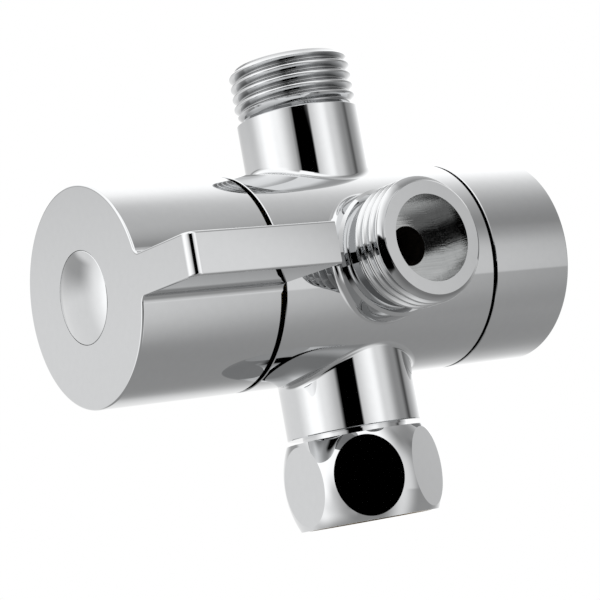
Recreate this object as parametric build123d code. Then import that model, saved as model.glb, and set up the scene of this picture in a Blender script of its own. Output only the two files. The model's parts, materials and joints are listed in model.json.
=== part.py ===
from build123d import *
from math import asin, cos, hypot, pi, radians, sin, sqrt
import os

# Shower diverter valve: a round barrel with three threaded ways, a lever knob on its left end that
# turns a ceramic-disc cartridge, and a screwed cap on its right end.
# Sizes are in millimetres. +Z points up to the shower outlet, -Y to the hand-shower outlet and +X
# along the barrel to the end cap. The origin is the centre of the inlet nut's open face.

# Half-inch parallel pipe thread: its outer size, and the hole that it is tapped in
THREAD_RADIUS = 20.955 / 2
TAPPED_RADIUS = 18.631 / 2

# Fits and clearances
RUNNING = 0.05
SWIVEL_CLEARANCE = 0.1
SEAT_CLEARANCE = 0.05
SEAL_CLEARANCE = 0.02
DISC_FILM = 0.03
LOOSE = 0.2

# How far a cutting solid reaches past the face that it opens, and how near two places count as one
OVERCUT = 1.0
TOUCH = 0.01

# Barrel, measured from the crossing of the outlet axes
BARREL_RADIUS = 18.15
BODY_LEFT = 21.25
BODY_RIGHT = 22.4
BARREL_EDGE = 0.12
NECK_FILLET = 1.2

# Threaded outlets: each runs from the barrel's axis to its open face
OUTLET_BORE_RADIUS = 7.25
OUTLET_BORE_DEPTH = 6.5
OUTLET_PASSAGE_RADIUS = 3.35
OUTLET_FACE_RADIUS = 9.63
RELIEF_RADIUS = 9.2
THREAD_LENGTH = 8.8
TOP_NECK_RADIUS = 10.5
TOP_RIM = 27.3
TOP_REACH = 38.0
TOP_RIM_CHAMFER = 0.6
FRONT_NECK_RADIUS = 10.85
FRONT_RIM = 20.05
FRONT_REACH = 30.45
FRONT_RIM_CHAMFER = 0.3

# Inlet neck, its spigot, and the swivel nut that hangs on the spigot's locking ring
INLET_NECK_RADIUS = 11.6
INLET_REACH = 27.15
INLET_EDGE = 0.15
INLET_BORE_RADIUS = 6.2
INLET_BORE_DEPTH = 14.0
INLET_PASSAGE_RADIUS = 3.0
SPIGOT_RADIUS = 9.0
SPIGOT_LENGTH = 5.85
NUT_GAP = 0.9
NUT_HEIGHT = 14.65
NUT_FLATS = 24.0
NUT_CROWN_RADIUS = 13.4
NUT_END_RADIUS = 11.95
NUT_MOUTH_CHAMFER = 1.2
NUT_LIP = 3.9
LOCK_WIRE_RADIUS = 0.6
LOCK_WIRE_DROP = 3.05
WASHER_THICKNESS = 2.0
WASHER_HOLE_RADIUS = 6.0
WASHER_RECESS_RADIUS = 9.75

# Cartridge chamber in the barrel's left end
CHAMBER_FLOOR = 7.0
CHAMBER_RADIUS = 12.6
MOUTH_RADIUS = 14.0
MOUTH_DEPTH = 6.5
PORT_OFFSET = 6.8
PORT_RADIUS = 2.3
PEG_RADIUS = 1.1
PEG_CIRCLE = 9.6
PEG_ANGLE = 50.0
PEG_LENGTH = 1.8

# Cartridge, from the chamber floor outwards
BASE_SEAL_THICKNESS = 1.0
SEAL_PROUD = 0.2
BASE_THICKNESS = 4.0
SEAL_RADIUS = 9.9
CHAMBER_SEAL_WIRE = 0.9
FIXED_DISC_RADIUS = 10.6
FIXED_DISC_THICKNESS = 3.0
MOVING_DISC_RADIUS = 10.3
MOVING_DISC_THICKNESS = 3.5
POCKET_DEPTH = 1.8
DRIVE_SLOT_WIDTH = 4.0
DRIVE_SLOT_DEPTH = 1.6
HOUSING_WALL = 1.5
HOUSING_END = 2.5
HOUSING_NECK_RADIUS = 7.5
HOUSING_NECK_LENGTH = 5.0
FLANGE_RADIUS = 8.9
FLANGE_THICKNESS = 3.0
STOP_TAB_HALF_ANGLE = 20.0
STOP_SLACK = 0.6
THRUST_THICKNESS = 0.8
THRUST_RADIUS = 8.2

# Spindle
SPINDLE_RADIUS = 4.5
SPINDLE_SEAL_WIRE = 0.75
SPINDLE_SEAL_PITCH = 2.6
SPLINE_RADIUS = 4.0
SPLINE_TEETH = 20
SPLINE_DEPTH = 0.45
SPLINE_LENGTH = 8.0
KEY_INSET = 1.0
CLIP_THICKNESS = 0.8
CLIP_RADIUS = 6.2
CLIP_GROOVE = 0.8

# Retaining nut and the ring that steadies the knob on it
RETAINING_SKIRT_WALL = 1.3
RETAINING_FLANGE_RADIUS = 15.1
RETAINING_FLANGE = 1.0
FLANGE_CLEARANCE = 0.45
RETAINING_HEX = 24.0
RETAINING_HEX_HEIGHT = 3.5
GUIDE_SEAT_RADIUS = 14.1
GUIDE_WIDTH = 2.4
GUIDE_CLEARANCE = 0.15

# Knob and its lever
KNOB_GAP = 0.5
KNOB_LENGTH = 26.3
KNOB_END_WALL = 7.0
KNOB_FACE_ROUND = 0.4
KNOB_INNER_CHAMFER = 0.38
HUB_RADIUS = 8.0
INSERT_WALL = 1.5
INSERT_WEB = 1.5
LEVER_REACH = 33.35
LEVER_THICKNESS = 6.8
LEVER_ROOT_FILLET = 1.3
LEVER_CORNER = 1.8
LEVER_LEAN = 0.95
TURN = 90.0

# Handle screw and the cover that hides it
SCREW_RADIUS = 2.0
SCREW_REACH = 7.0
SCREW_HEAD_RADIUS = 3.5
SCREW_HEAD_HEIGHT = 2.6
SCREW_SOCKET = 3.0
SCREW_SOCKET_DEPTH = 1.6
COVER_RADIUS = 7.6
COVER_DEPTH = 4.0
COVER_THICKNESS = 1.8
COVER_CROWN = 1.4
COVER_SKIRT_WALL = 1.0

# End cap, screwed on the barrel's right spigot
CAP_GAP = 0.6
CAP_LENGTH = 16.7
CAP_WALL = 3.5
CAP_END_WALL = 3.0
CAP_EDGE = 0.3
CAP_SPIGOT_LENGTH = 9.0
CAP_SEAL_WIRE = 0.9
CORE_RADIUS = 10.5
CORE_FLOOR = 9.0

# Places along the barrel, from the sizes above
AXIS_HEIGHT = INLET_REACH + NUT_GAP + NUT_HEIGHT
BODY_LEFT_X = -BODY_LEFT
FLOOR_X = -CHAMBER_FLOOR
BASE_X = FLOOR_X - SEAL_PROUD
BASE_TOP_X = BASE_X - BASE_THICKNESS
FIXED_DISC_X = BASE_TOP_X - SEAL_PROUD
MOVING_DISC_X = FIXED_DISC_X - FIXED_DISC_THICKNESS - DISC_FILM
FLANGE_X = MOVING_DISC_X - MOVING_DISC_THICKNESS
THRUST_X = FLANGE_X - FLANGE_THICKNESS - RUNNING
HOUSING_END_X = THRUST_X - THRUST_THICKNESS
HOUSING_SHOULDER_X = HOUSING_END_X - HOUSING_END
HOUSING_NECK_X = HOUSING_SHOULDER_X - HOUSING_NECK_LENGTH
CLIP_X = HOUSING_NECK_X - RUNNING
SPLINE_X = CLIP_X - CLIP_THICKNESS - CLIP_GROOVE
SPINDLE_END_X = SPLINE_X - SPLINE_LENGTH
KNOB_RIGHT_X = BODY_LEFT_X - KNOB_GAP
KNOB_LEFT_X = KNOB_RIGHT_X - KNOB_LENGTH
KNOB_ROOF_X = KNOB_LEFT_X + KNOB_END_WALL
COVER_SEAT_X = KNOB_LEFT_X + COVER_DEPTH
INSERT_TOP_X = SPINDLE_END_X - LOOSE
SCREW_SEAT_X = INSERT_TOP_X - INSERT_WEB
CAP_LEFT_X = BODY_RIGHT + CAP_GAP
CAP_RIGHT_X = CAP_LEFT_X + CAP_LENGTH
CAP_SPIGOT_X = BODY_RIGHT + CAP_SPIGOT_LENGTH

# Radii that follow from a seat and its clearance
HOUSING_RADIUS = CHAMBER_RADIUS - LOOSE
HOUSING_BORE_RADIUS = HOUSING_RADIUS - HOUSING_WALL
KNOB_BORE_RADIUS = RETAINING_FLANGE_RADIUS + FLANGE_CLEARANCE
CAP_BORE_RADIUS = BARREL_RADIUS - CAP_WALL
CAP_SPIGOT_RADIUS = CAP_BORE_RADIUS - SEAT_CLEARANCE
INSERT_RADIUS = SPLINE_RADIUS + SEAT_CLEARANCE + INSERT_WALL
COVER_RECESS_RADIUS = COVER_RADIUS + SEAT_CLEARANCE
SPINDLE_BORE_RADIUS = SPINDLE_RADIUS + RUNNING
SKIRT_BORE_RADIUS = MOUTH_RADIUS - SEAT_CLEARANCE - RETAINING_SKIRT_WALL


def turned_x(*corners):
    """A solid turned about the barrel's axis from corners given as (place, radius)."""
    return revolve(make_face(Polyline(*corners, close=True)), Axis.X)


def turned_z(*corners):
    """A solid turned about the upright axis from corners given as (radius, height)."""
    outline = Polyline(*[(radius, 0, height) for radius, height in corners], close=True)
    return revolve(make_face(outline), Axis.Z)


def drilled_x(start, end, radius, y=0.0, z=0.0):
    """A round hole or pin along the barrel between two places."""
    pin = turned_x((start, 0), (start, radius), (end, radius), (end, 0))
    return Pos(0, y, z) * pin


def ring_x(place, radius, wire):
    """A round-section ring that lies square to the barrel's axis."""
    return Pos(place, 0, 0) * Rot(0, 90, 0) * Torus(radius, wire)


def across_barrel(place):
    """The plane square to the barrel's axis, with its own x along +Y and its own y along +Z."""
    return Plane(origin=(place, 0, 0), x_dir=(0, 1, 0), z_dir=(1, 0, 0))


def outlet(neck_radius, rim, rim_chamfer, reach):
    """A neck with a relief groove and a threaded end, standing up along +Z."""
    lead_in = THREAD_RADIUS - OUTLET_FACE_RADIUS
    thread_start = reach - THREAD_LENGTH
    return turned_z((0, 0), (neck_radius, 0), (neck_radius, rim - rim_chamfer),
                    (neck_radius - rim_chamfer, rim), (RELIEF_RADIUS, rim),
                    (RELIEF_RADIUS, thread_start - THREAD_RADIUS + RELIEF_RADIUS),
                    (THREAD_RADIUS, thread_start), (THREAD_RADIUS, reach - lead_in),
                    (OUTLET_FACE_RADIUS, reach), (0, reach))


def outlet_way(reach):
    """The bore in an outlet's end and the passage from it to the disc's port."""
    bore_floor = reach - OUTLET_BORE_DEPTH
    passage_end = PORT_OFFSET - PORT_RADIUS
    return turned_z((0, passage_end), (OUTLET_PASSAGE_RADIUS, passage_end),
                    (OUTLET_PASSAGE_RADIUS, bore_floor), (OUTLET_BORE_RADIUS, bore_floor),
                    (OUTLET_BORE_RADIUS, reach + OVERCUT), (0, reach + OVERCUT))


def inlet_neck():
    """The inlet neck and its spigot, standing up along +Z until they are turned down."""
    spigot_end = INLET_REACH + SPIGOT_LENGTH
    groove = INLET_REACH + LOCK_WIRE_DROP
    groove_half = LOCK_WIRE_RADIUS + SWIVEL_CLEARANCE
    groove_floor = SPIGOT_RADIUS - LOCK_WIRE_RADIUS
    return turned_z((0, 0), (INLET_NECK_RADIUS, 0), (INLET_NECK_RADIUS, INLET_REACH - INLET_EDGE),
                    (INLET_NECK_RADIUS - INLET_EDGE, INLET_REACH), (SPIGOT_RADIUS, INLET_REACH),
                    (SPIGOT_RADIUS, groove - groove_half), (groove_floor, groove - groove_half),
                    (groove_floor, groove + groove_half), (SPIGOT_RADIUS, groove + groove_half),
                    (SPIGOT_RADIUS, spigot_end), (0, spigot_end))


def inlet_way():
    """The inlet bore and the passage from it up to the disc's middle port."""
    spigot_end = INLET_REACH + SPIGOT_LENGTH
    bore_floor = spigot_end - INLET_BORE_DEPTH
    return turned_z((0, -PORT_RADIUS), (INLET_PASSAGE_RADIUS, -PORT_RADIUS),
                    (INLET_PASSAGE_RADIUS, bore_floor), (INLET_BORE_RADIUS, bore_floor),
                    (INLET_BORE_RADIUS, spigot_end + OVERCUT), (0, spigot_end + OVERCUT))


def neck_fillet():
    """The fillet at the necks, or less where the front and inlet necks leave no room for it."""
    free_angle = pi / 2 - asin(FRONT_NECK_RADIUS / BARREL_RADIUS) - asin(INLET_NECK_RADIUS / BARREL_RADIUS)
    return min(NECK_FILLET, BARREL_RADIUS * free_angle - LOOSE)


def meets_barrel(edge, neck_radius, across):
    """True for an edge where a neck of this radius comes out of the barrel."""
    places = [edge @ share for share in (0.2, 0.7)]
    on_barrel = all(abs(hypot(p.Y, p.Z) - BARREL_RADIUS) < TOUCH for p in places)
    return on_barrel and all(abs(across(p) - neck_radius) < TOUCH for p in places)


def port_places():
    """Where the inlet, hand-shower and shower ports lie on the cartridge's flat faces."""
    return [(0, 0), (-PORT_OFFSET, 0), (0, PORT_OFFSET)]


def peg_places():
    """Where the pegs that keep the cartridge from turning lie, on the back of the barrel."""
    turn = radians(PEG_ANGLE)
    return [(PEG_CIRCLE * cos(turn), side * PEG_CIRCLE * sin(turn)) for side in (-1, 1)]


def right_spigot_groove():
    """The groove in the right spigot that the end cap's seal lies in."""
    floor = CAP_BORE_RADIUS - SEAL_CLEARANCE - 2 * CAP_SEAL_WIRE
    middle = CAP_LEFT_X + 2 * CAP_SEAL_WIRE
    half = CAP_SEAL_WIRE + LOOSE
    return turned_x((middle - half, floor), (middle - half, BARREL_RADIUS),
                    (middle + half, BARREL_RADIUS), (middle + half, floor))


def valve_body():
    barrel = turned_x((BODY_LEFT_X, 0), (BODY_LEFT_X, BARREL_RADIUS - BARREL_EDGE),
                      (BODY_LEFT_X + BARREL_EDGE, BARREL_RADIUS),
                      (BODY_RIGHT - BARREL_EDGE, BARREL_RADIUS),
                      (BODY_RIGHT, BARREL_RADIUS - BARREL_EDGE), (BODY_RIGHT, CAP_SPIGOT_RADIUS),
                      (CAP_SPIGOT_X, CAP_SPIGOT_RADIUS), (CAP_SPIGOT_X, 0))
    top = outlet(TOP_NECK_RADIUS, TOP_RIM, TOP_RIM_CHAMFER, TOP_REACH)
    front = Rot(90, 0, 0) * outlet(FRONT_NECK_RADIUS, FRONT_RIM, FRONT_RIM_CHAMFER, FRONT_REACH)
    body = barrel + top + front + Rot(180, 0, 0) * inlet_neck()
    joins = [edge for edge in body.edges()
             if meets_barrel(edge, TOP_NECK_RADIUS, lambda p: hypot(p.X, p.Y)) and edge.center().Z > 0
             or meets_barrel(edge, INLET_NECK_RADIUS, lambda p: hypot(p.X, p.Y)) and edge.center().Z < 0
             or meets_barrel(edge, FRONT_NECK_RADIUS, lambda p: hypot(p.X, p.Z))]
    body = fillet(joins, neck_fillet())
    mouth_floor = BODY_LEFT_X + MOUTH_DEPTH
    body -= turned_x((BODY_LEFT_X - OVERCUT, 0), (BODY_LEFT_X - OVERCUT, MOUTH_RADIUS),
                     (mouth_floor, MOUTH_RADIUS), (mouth_floor, CHAMBER_RADIUS),
                     (FLOOR_X, CHAMBER_RADIUS), (FLOOR_X, 0))
    body -= outlet_way(TOP_REACH)
    body -= Rot(90, 0, 0) * outlet_way(FRONT_REACH)
    body -= Rot(180, 0, 0) * inlet_way()
    for y, z in port_places():
        body -= drilled_x(FLOOR_X - OVERCUT, 0, PORT_RADIUS, y, z)
    body -= peg_cuts(FLOOR_X - OVERCUT, FLOOR_X + PEG_LENGTH + LOOSE)
    body -= drilled_x(CORE_FLOOR, CAP_SPIGOT_X + OVERCUT, CORE_RADIUS)
    return body - right_spigot_groove()


def end_cap():
    hollow_end = CAP_RIGHT_X - CAP_END_WALL
    return turned_x((CAP_LEFT_X, CAP_BORE_RADIUS), (CAP_LEFT_X, BARREL_RADIUS - BARREL_EDGE),
                    (CAP_LEFT_X + BARREL_EDGE, BARREL_RADIUS), (CAP_RIGHT_X - CAP_EDGE, BARREL_RADIUS),
                    (CAP_RIGHT_X, BARREL_RADIUS - CAP_EDGE), (CAP_RIGHT_X, 0), (hollow_end, 0),
                    (hollow_end, CAP_BORE_RADIUS))


def end_cap_seal():
    middle = CAP_LEFT_X + 2 * CAP_SEAL_WIRE
    return ring_x(middle, CAP_BORE_RADIUS - SEAL_CLEARANCE - CAP_SEAL_WIRE, CAP_SEAL_WIRE)


def ported_plate(start, end, radius):
    """A round plate with the three ports through it."""
    plate = drilled_x(start, end, radius)
    for y, z in port_places():
        plate -= drilled_x(start - OVERCUT, end + OVERCUT, PORT_RADIUS, y, z)
    return plate


def base_seal():
    plate = ported_plate(FLOOR_X - BASE_SEAL_THICKNESS, FLOOR_X, SEAL_RADIUS)
    return plate - peg_cuts(FLOOR_X - BASE_SEAL_THICKNESS - OVERCUT, FLOOR_X + OVERCUT)


def peg_cuts(start, end):
    """Holes that let the two pegs pass."""
    left, right = [drilled_x(start, end, PEG_RADIUS + SEAT_CLEARANCE, y, z) for y, z in peg_places()]
    return left + right


def disc_seal():
    plate = ported_plate(FIXED_DISC_X, FIXED_DISC_X + BASE_SEAL_THICKNESS, SEAL_RADIUS)
    return plate - peg_cuts(FIXED_DISC_X - OVERCUT, FIXED_DISC_X + BASE_SEAL_THICKNESS + OVERCUT)


def chamber_seal_radius():
    """The middle radius of the ring that seals the cartridge's base in the chamber."""
    return CHAMBER_RADIUS - SEAL_CLEARANCE - CHAMBER_SEAL_WIRE


def chamber_seal():
    return ring_x(BASE_X - BASE_THICKNESS / 2, chamber_seal_radius(), CHAMBER_SEAL_WIRE)


def cartridge_base():
    base = ported_plate(BASE_TOP_X, BASE_X, HOUSING_RADIUS)
    recess = BASE_SEAL_THICKNESS - SEAL_PROUD
    base -= drilled_x(BASE_X - recess, BASE_X + OVERCUT, SEAL_RADIUS + SEAT_CLEARANCE)
    base -= drilled_x(BASE_TOP_X - OVERCUT, BASE_TOP_X + recess, SEAL_RADIUS + SEAT_CLEARANCE)
    middle = BASE_X - BASE_THICKNESS / 2
    half = CHAMBER_SEAL_WIRE + SEAT_CLEARANCE
    floor = chamber_seal_radius() - CHAMBER_SEAL_WIRE
    base -= turned_x((middle - half, floor), (middle - half, CHAMBER_RADIUS),
                     (middle + half, CHAMBER_RADIUS), (middle + half, floor))
    for y, z in peg_places():
        base += drilled_x(BASE_TOP_X - PEG_LENGTH, FLOOR_X + PEG_LENGTH, PEG_RADIUS, y, z)
    return base


def fixed_disc():
    disc = ported_plate(FIXED_DISC_X - FIXED_DISC_THICKNESS, FIXED_DISC_X, FIXED_DISC_RADIUS)
    return disc - peg_cuts(BASE_TOP_X - PEG_LENGTH - LOOSE, FIXED_DISC_X + OVERCUT)


def moving_disc():
    left = MOVING_DISC_X - MOVING_DISC_THICKNESS
    disc = drilled_x(left, MOVING_DISC_X, MOVING_DISC_RADIUS)
    pocket = Pos(-PORT_OFFSET / 2, 0) * SlotCenterToCenter(PORT_OFFSET, 2 * PORT_RADIUS)
    disc -= extrude(across_barrel(MOVING_DISC_X - POCKET_DEPTH) * pocket, POCKET_DEPTH + OVERCUT)
    slot = Rectangle(DRIVE_SLOT_WIDTH, 2 * HOUSING_RADIUS)
    return disc - extrude(across_barrel(left - OVERCUT) * slot, DRIVE_SLOT_DEPTH + OVERCUT)


def sector(start, end, inner, outer, middle_angle, half_angle):
    """A piece of a tube about the barrel's axis, centred on an angle that runs from +Y to +Z."""
    tube = turned_x((start, inner), (start, outer), (end, outer), (end, inner))
    reach = 2 * outer / cos(radians(half_angle) / 2)
    corners = [(0, 0)]
    for share in (-1, -0.5, 0, 0.5, 1):
        angle = radians(middle_angle + share * half_angle)
        corners.append((reach * cos(angle), reach * sin(angle)))
    wedge = extrude(across_barrel(start) * make_face(Polyline(*corners, close=True)), end - start)
    return tube & wedge


def stop_rib():
    """The rib inside the housing that the spindle's tab meets at each end of its turn."""
    free_half = TURN / 2 + STOP_TAB_HALF_ANGLE + STOP_SLACK
    start = FLANGE_X - FLANGE_THICKNESS
    middle_of_free = 180 - TURN / 2
    return sector(start, FLANGE_X, FLANGE_RADIUS + LOOSE, HOUSING_BORE_RADIUS + SEAT_CLEARANCE,
                  middle_of_free + 180, 180 - free_half)


def cartridge_housing():
    shell = turned_x((BASE_TOP_X, HOUSING_BORE_RADIUS), (BASE_TOP_X, HOUSING_RADIUS),
                     (HOUSING_SHOULDER_X, HOUSING_RADIUS), (HOUSING_SHOULDER_X, HOUSING_NECK_RADIUS),
                     (HOUSING_NECK_X, HOUSING_NECK_RADIUS), (HOUSING_NECK_X, SPINDLE_BORE_RADIUS),
                     (HOUSING_END_X, SPINDLE_BORE_RADIUS), (HOUSING_END_X, HOUSING_BORE_RADIUS))
    return shell + stop_rib()


def thrust_washer():
    left = THRUST_X - THRUST_THICKNESS
    return turned_x((left, SPINDLE_BORE_RADIUS), (left, THRUST_RADIUS), (THRUST_X, THRUST_RADIUS),
                    (THRUST_X, SPINDLE_BORE_RADIUS))


def spline_profile(outer, depth):
    """A round outline with evenly spaced teeth, as the points of one star-shaped face."""
    corners = []
    for step in range(2 * SPLINE_TEETH):
        angle = radians(180 * step / SPLINE_TEETH)
        radius = outer if step % 2 == 0 else outer - depth
        corners.append((radius * cos(angle), radius * sin(angle)))
    return make_face(Polyline(*corners, close=True))


def seal_places():
    """Where the spindle's two seals lie in the housing's neck."""
    middle = (HOUSING_SHOULDER_X + HOUSING_NECK_X) / 2
    return [middle - SPINDLE_SEAL_PITCH / 2, middle + SPINDLE_SEAL_PITCH / 2]


def spindle():
    tab_radius = HOUSING_BORE_RADIUS - LOOSE
    start = FLANGE_X - FLANGE_THICKNESS
    stem = turned_x((FLANGE_X, 0), (FLANGE_X, FLANGE_RADIUS), (start, FLANGE_RADIUS),
                    (start, SPINDLE_RADIUS), (SPLINE_X, SPINDLE_RADIUS), (SPLINE_X, 0))
    stem += sector(start, FLANGE_X, SPINDLE_RADIUS, tab_radius, 180, STOP_TAB_HALF_ANGLE)
    key = Rectangle(DRIVE_SLOT_WIDTH - 2 * SEAT_CLEARANCE, 2 * (FLANGE_RADIUS - KEY_INSET))
    stem += extrude(across_barrel(FLANGE_X) * key, DRIVE_SLOT_DEPTH - SEAT_CLEARANCE)
    teeth = spline_profile(SPLINE_RADIUS, SPLINE_DEPTH)
    stem += extrude(across_barrel(SPINDLE_END_X) * teeth, SPLINE_LENGTH)
    half = SPINDLE_SEAL_WIRE + SEAT_CLEARANCE
    floor = SPINDLE_RADIUS - 2 * SPINDLE_SEAL_WIRE
    for place in seal_places():
        stem -= turned_x((place - half, floor), (place - half, SPINDLE_RADIUS + OVERCUT),
                         (place + half, SPINDLE_RADIUS + OVERCUT), (place + half, floor))
    clip_floor = SPINDLE_RADIUS - CLIP_GROOVE
    clip_left = CLIP_X - CLIP_THICKNESS - SEAT_CLEARANCE
    stem -= turned_x((clip_left, clip_floor), (clip_left, SPINDLE_RADIUS + OVERCUT),
                     (CLIP_X, SPINDLE_RADIUS + OVERCUT), (CLIP_X, clip_floor))
    hole_end = SPINDLE_END_X + SCREW_REACH + LOOSE
    return stem - drilled_x(SPINDLE_END_X - OVERCUT, hole_end, SCREW_RADIUS)


def spindle_seals():
    radius = SPINDLE_RADIUS - SPINDLE_SEAL_WIRE
    return Compound([ring_x(place, radius, SPINDLE_SEAL_WIRE) for place in seal_places()])


def spindle_clip():
    inner = SPINDLE_RADIUS - CLIP_GROOVE + SEAT_CLEARANCE
    left = CLIP_X - CLIP_THICKNESS
    ring = turned_x((left, inner), (left, CLIP_RADIUS), (CLIP_X, CLIP_RADIUS), (CLIP_X, inner))
    mouth = Pos(CLIP_RADIUS, 0) * Rectangle(2 * CLIP_RADIUS, SPINDLE_RADIUS)
    return ring - extrude(across_barrel(left - OVERCUT) * mouth, CLIP_THICKNESS + 2 * OVERCUT)


def retaining_nut():
    """The nut that clamps the cartridge: a threaded skirt, a flange, a ring seat and a hexagon."""
    skirt_radius = MOUTH_RADIUS - SEAT_CLEARANCE
    skirt_end = BODY_LEFT_X + MOUTH_DEPTH - LOOSE
    flange_left = BODY_LEFT_X - RETAINING_FLANGE
    seat_left = flange_left - GUIDE_WIDTH - LOOSE
    hex_left = seat_left - RETAINING_HEX_HEIGHT
    neck_hole = HOUSING_NECK_RADIUS + LOOSE
    outer = turned_x((skirt_end, SKIRT_BORE_RADIUS), (skirt_end, skirt_radius), (BODY_LEFT_X, skirt_radius),
                     (BODY_LEFT_X, RETAINING_FLANGE_RADIUS), (flange_left, RETAINING_FLANGE_RADIUS),
                     (flange_left, GUIDE_SEAT_RADIUS), (seat_left, GUIDE_SEAT_RADIUS),
                     (seat_left, neck_hole), (HOUSING_SHOULDER_X, neck_hole),
                     (HOUSING_SHOULDER_X, SKIRT_BORE_RADIUS))
    hexagon = RegularPolygon(RETAINING_HEX / 2, 6, major_radius=False)
    head = extrude(across_barrel(hex_left) * hexagon, RETAINING_HEX_HEIGHT)
    return outer + (head - drilled_x(hex_left - OVERCUT, seat_left + OVERCUT, neck_hole))


def guide_ring():
    right = BODY_LEFT_X - RETAINING_FLANGE
    left = right - GUIDE_WIDTH
    outer = KNOB_BORE_RADIUS - GUIDE_CLEARANCE
    return turned_x((left, GUIDE_SEAT_RADIUS), (left, outer), (right, outer), (right, GUIDE_SEAT_RADIUS))


def lever_outline():
    """The knob's end view: a circle with the lever standing out of it along -Y, its roots filleted."""
    bar = Pos(-LEVER_REACH / 2, 0) * Rectangle(LEVER_REACH, LEVER_THICKNESS)
    outline = Circle(BARREL_RADIUS) + bar
    root = -sqrt(BARREL_RADIUS ** 2 - (LEVER_THICKNESS / 2) ** 2)
    roots = [vertex for vertex in outline.vertices() if abs(vertex.X - root) < TOUCH]
    return fillet(roots, LEVER_ROOT_FILLET)


def lever_lean():
    """The sliver by which the lever's right end leans out beyond the knob towards its tip."""
    foot = -BARREL_RADIUS - LEVER_ROOT_FILLET
    corners = [(KNOB_RIGHT_X, foot), (KNOB_RIGHT_X + LEVER_LEAN, -LEVER_REACH), (KNOB_RIGHT_X, -LEVER_REACH)]
    lean = extrude(make_face(Polyline(*corners, close=True)), LEVER_THICKNESS)
    return Pos(0, 0, -LEVER_THICKNESS / 2) * lean


def knob_inner_chamfer():
    """The cut that bevels the knob's edge beside the body, all round but under the lever."""
    edge = KNOB_INNER_CHAMFER
    beyond = KNOB_RIGHT_X + OVERCUT
    cut = turned_x((KNOB_RIGHT_X - edge, BARREL_RADIUS), (KNOB_RIGHT_X, BARREL_RADIUS - edge),
                   (beyond, BARREL_RADIUS - edge), (beyond, BARREL_RADIUS + OVERCUT),
                   (KNOB_RIGHT_X - edge, BARREL_RADIUS + OVERCUT))
    under = Rectangle(2 * LEVER_REACH, LEVER_THICKNESS + 2 * LEVER_ROOT_FILLET)
    keep = extrude(across_barrel(KNOB_RIGHT_X - edge) * (Pos(-LEVER_REACH, 0) * under), edge + OVERCUT)
    return cut - keep


def knob():
    knob = extrude(across_barrel(KNOB_LEFT_X) * lever_outline(), KNOB_LENGTH)
    knob += lever_lean()
    corner = [edge for edge in knob.edges().filter_by(Axis.Z)
              if abs(edge.center().X - KNOB_LEFT_X) < TOUCH and abs(edge.center().Y + LEVER_REACH) < TOUCH]
    knob = fillet(corner, LEVER_CORNER)
    face_edges = [edge for edge in knob.edges() if abs(edge.center().X - KNOB_LEFT_X) < TOUCH
                  and edge.center().Y > LEVER_CORNER - LEVER_REACH + TOUCH]
    knob = fillet(face_edges, KNOB_FACE_ROUND)
    knob -= turned_x((KNOB_ROOF_X, HUB_RADIUS), (KNOB_ROOF_X, KNOB_BORE_RADIUS),
                     (KNOB_RIGHT_X + OVERCUT, KNOB_BORE_RADIUS), (KNOB_RIGHT_X + OVERCUT, 0),
                     (SPLINE_X, 0), (SPLINE_X, HUB_RADIUS))
    knob -= drilled_x(INSERT_TOP_X, SPLINE_X + OVERCUT, INSERT_RADIUS)
    knob -= drilled_x(SCREW_SEAT_X - OVERCUT, INSERT_TOP_X + OVERCUT, SCREW_RADIUS + LOOSE)
    knob -= drilled_x(KNOB_LEFT_X - OVERCUT, SCREW_SEAT_X, SCREW_HEAD_RADIUS + LOOSE)
    knob -= drilled_x(KNOB_LEFT_X - OVERCUT, COVER_SEAT_X, COVER_RECESS_RADIUS)
    return knob - knob_inner_chamfer()


def spline_insert():
    ring = drilled_x(INSERT_TOP_X, SPLINE_X, INSERT_RADIUS)
    teeth = spline_profile(SPLINE_RADIUS + SEAT_CLEARANCE, SPLINE_DEPTH)
    depth = SPLINE_X - INSERT_TOP_X + 2 * OVERCUT
    return ring - extrude(across_barrel(INSERT_TOP_X - OVERCUT) * teeth, depth)


def handle_screw():
    head_left = SCREW_SEAT_X - SCREW_HEAD_HEIGHT
    screw_end = SPINDLE_END_X + SCREW_REACH
    screw = turned_x((head_left, 0), (head_left, SCREW_HEAD_RADIUS), (SCREW_SEAT_X, SCREW_HEAD_RADIUS),
                     (SCREW_SEAT_X, SCREW_RADIUS), (screw_end, SCREW_RADIUS), (screw_end, 0))
    socket = RegularPolygon(SCREW_SOCKET / 2, 6, major_radius=False)
    return screw - extrude(across_barrel(head_left - OVERCUT) * socket, SCREW_SOCKET_DEPTH + OVERCUT)


def screw_cover():
    """The button that hides the screw: a crowned face on a short skirt that seats in the knob."""
    crown_radius = (COVER_RADIUS ** 2 + COVER_CROWN ** 2) / (2 * COVER_CROWN)
    skirt_radius = COVER_RADIUS - COVER_SKIRT_WALL
    crown_x = KNOB_LEFT_X - COVER_CROWN
    cover = turned_x((crown_x, 0), (crown_x, COVER_RADIUS), (COVER_SEAT_X, COVER_RADIUS),
                     (COVER_SEAT_X, skirt_radius), (KNOB_LEFT_X + COVER_THICKNESS, skirt_radius),
                     (KNOB_LEFT_X + COVER_THICKNESS, 0))
    return cover & Pos(crown_x + crown_radius, 0, 0) * Sphere(crown_radius)


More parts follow.
